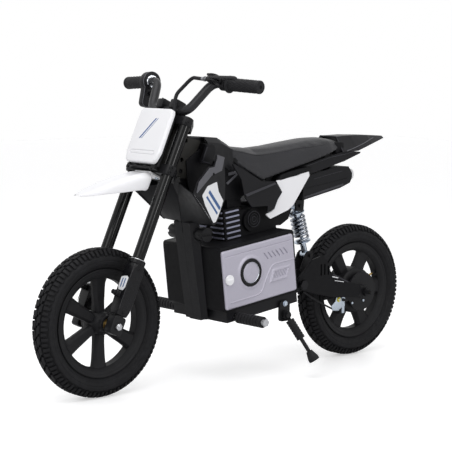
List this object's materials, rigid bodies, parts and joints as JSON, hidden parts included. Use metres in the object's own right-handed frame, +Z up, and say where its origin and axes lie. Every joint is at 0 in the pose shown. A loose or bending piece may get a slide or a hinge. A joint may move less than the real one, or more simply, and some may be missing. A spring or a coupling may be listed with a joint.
{
  "type": "kids electric motorbike",
  "caption": "Off-road styled electric motorbike for a child: sprung fork and swingarm, battery box with silver covers, hub motor wheel, long seat, pointed tail and side stand.",
  "frame": {"origin": "on the ground midway between the two axles", "axes": "+X forward, +Y to the rider's left, +Z up"},
  "size_m": [1.206, 0.504, 0.7667],
  "materials": {
    "black_steel": "satin",
    "grey_steel": "satin",
    "bright_steel": "brushed",
    "zinc": "zinc plated",
    "chrome": "polished",
    "cast_black": "satin black",
    "grey_bar": "satin",
    "tyre": "matte",
    "rubber": "matte",
    "black_plastic": "textured",
    "grey_plastic": "matte",
    "white_plastic": "gloss",
    "silver_plastic": "painted silver",
    "seat_cover": "grained",
    "sealed": "sleeved"
  },
  "bodies": {
    "chassis": {"main_frame": "black_steel", "headstock": "grey_steel", "cradle": "black_steel", "battery_box": "black_plastic", "battery_covers": "silver_plastic", "charge_socket": "black_plastic", "cover_rings": "black_plastic", "battery_pack": "sealed", "motor_controller": "bright_steel", "mock_engine": "black_plastic", "engine_fins": "bright_steel", "front_shells": "black_plastic", "shrouds": "black_plastic", "shroud_strips": "grey_plastic", "tank_cover": "black_plastic", "side_panels": "black_plastic", "white_panels": "white_plastic", "seat_cushion": "seat_cover", "seat_base": "black_plastic", "tail_fender": "black_plastic", "tail_undertray": "black_plastic", "muffler": "black_plastic", "muffler_caps": "white_plastic", "footpeg_bars": "bright_steel", "footpeg_rubbers": "rubber", "kickstand_bracket": "black_steel"},
    "steering": {"lower_clamp": "black_steel", "upper_clamp": "black_steel", "fork_tubes": "black_steel", "bar_risers": "black_steel", "handlebar": "grey_bar", "grip_left": "rubber", "throttle_housing": "black_plastic", "brake_perch": "black_steel", "bar_cable": "rubber", "number_plate": "white_plastic", "plate_bracket": "black_plastic", "front_fender": "white_plastic"},
    "throttle": {"throttle_grip": "rubber"},
    "lever": {"brake_lever": "cast_black"},
    "button": {"power_button": "black_plastic"},
    "front_fork": {"fork_sliders": "black_steel", "fork_guards": "black_plastic", "front_axle": "bright_steel"},
    "front_wheel": {"front_tyre": "tyre", "front_rim": "cast_black"},
    "rear_arm": {"swingarm": "black_steel", "swingarm_covers": "black_plastic", "rear_axle": "bright_steel", "brake_plate": "zinc", "rear_brake_cable": "rubber"},
    "drum_arm": {"brake_arm": "zinc"},
    "rear_wheel": {"rear_tyre": "tyre", "rear_rim": "cast_black"},
    "shock_upper": {"shock_body": "black_steel", "shock_spring": "chrome"},
    "shock_lower": {"shock_rod": "bright_steel"},
    "kickstand": {"kickstand_leg": "bright_steel", "kickstand_rubbers": "rubber"},
    "knob": {"cover_knob": "white_plastic"}
  },
  "joints": [
    {"name": "steering_turn", "type": "hinge", "parent": "chassis", "child": "steering", "pos_m": [0.2122, 0, 0.57564], "axis": [-0.4122, 0, 0.9111], "range_deg": [-35, 35]},
    {"name": "fork_travel", "type": "slide", "parent": "steering", "child": "front_fork", "axis": [-0.4122, 0, 0.9111], "range_m": [0, 0.04], "stiffness_N_per_m": 5000, "springref_m": -0.04},
    {"name": "front_wheel_spin", "type": "hinge", "parent": "front_fork", "child": "front_wheel", "pos_m": [0.425, 0, 0.178], "axis": [0, 1, 0], "continuous": true},
    {"name": "throttle_twist", "type": "hinge", "parent": "steering", "child": "throttle", "pos_m": [0.16185, -0.104, 0.74274], "axis": [-0.1404, -0.9887, -0.0524], "range_deg": [0, 60], "stiffness_Nm_per_rad": 0.6, "springref_deg": -11.46},
    {"name": "brake_lever_pull", "type": "hinge", "parent": "steering", "child": "lever", "pos_m": [0.18659, 0.12457, 0.75435], "axis": [-0.4122, 0, 0.9111], "range_deg": [0, 13], "stiffness_Nm_per_rad": 3, "springref_deg": -8.59},
    {"name": "button_press", "type": "slide", "parent": "steering", "child": "button", "axis": [0, -1, 0], "range_m": [0, 0.002], "stiffness_N_per_m": 600, "springref_m": -0.001},
    {"name": "swingarm_travel", "type": "hinge", "parent": "chassis", "child": "rear_arm", "pos_m": [-0.18, 0, 0.22], "axis": [0, 1, 0], "range_deg": [0, 8], "stiffness_Nm_per_rad": 450, "springref_deg": -8.59},
    {"name": "rear_wheel_spin", "type": "hinge", "parent": "rear_arm", "child": "rear_wheel", "pos_m": [-0.425, 0, 0.178], "axis": [0, 1, 0], "continuous": true},
    {"name": "drum_arm_turn", "type": "hinge", "parent": "rear_arm", "child": "drum_arm", "pos_m": [-0.35, 0.05, 0.162], "axis": [0, 1, 0], "range_deg": [-16, 0.5]},
    {"name": "shock_swing", "type": "hinge", "parent": "chassis", "child": "shock_upper", "pos_m": [-0.217, 0, 0.419], "axis": [0, 1, 0], "range_deg": [-3.5, 0.5]},
    {"name": "shock_stroke", "type": "slide", "parent": "shock_upper", "child": "shock_lower", "axis": [0.2926, 0, 0.9562], "range_m": [-0.0005, 0.0135], "deforming": ["shock_spring"]},
    {"name": "kickstand_fold", "type": "hinge", "parent": "chassis", "child": "kickstand", "pos_m": [-0.082, 0.1145, 0.158], "axis": [0, 1, 0], "range_deg": [0, 70]},
    {"name": "cover_knob_turn", "type": "hinge", "parent": "chassis", "child": "knob", "pos_m": [0.11435, 0.115, 0.2642], "axis": [0, 1, 0], "range_deg": [0, 90]}
  ],
  "couplings": [
    {"joint": "drum_arm_turn", "follows": "brake_lever_pull", "ratio": -1.15},
    {"joint": "shock_swing", "follows": "swingarm_travel", "ratio": -0.345},
    {"joint": "shock_stroke", "follows": "swingarm_travel", "m_per_rad": 0.09}
  ]
}
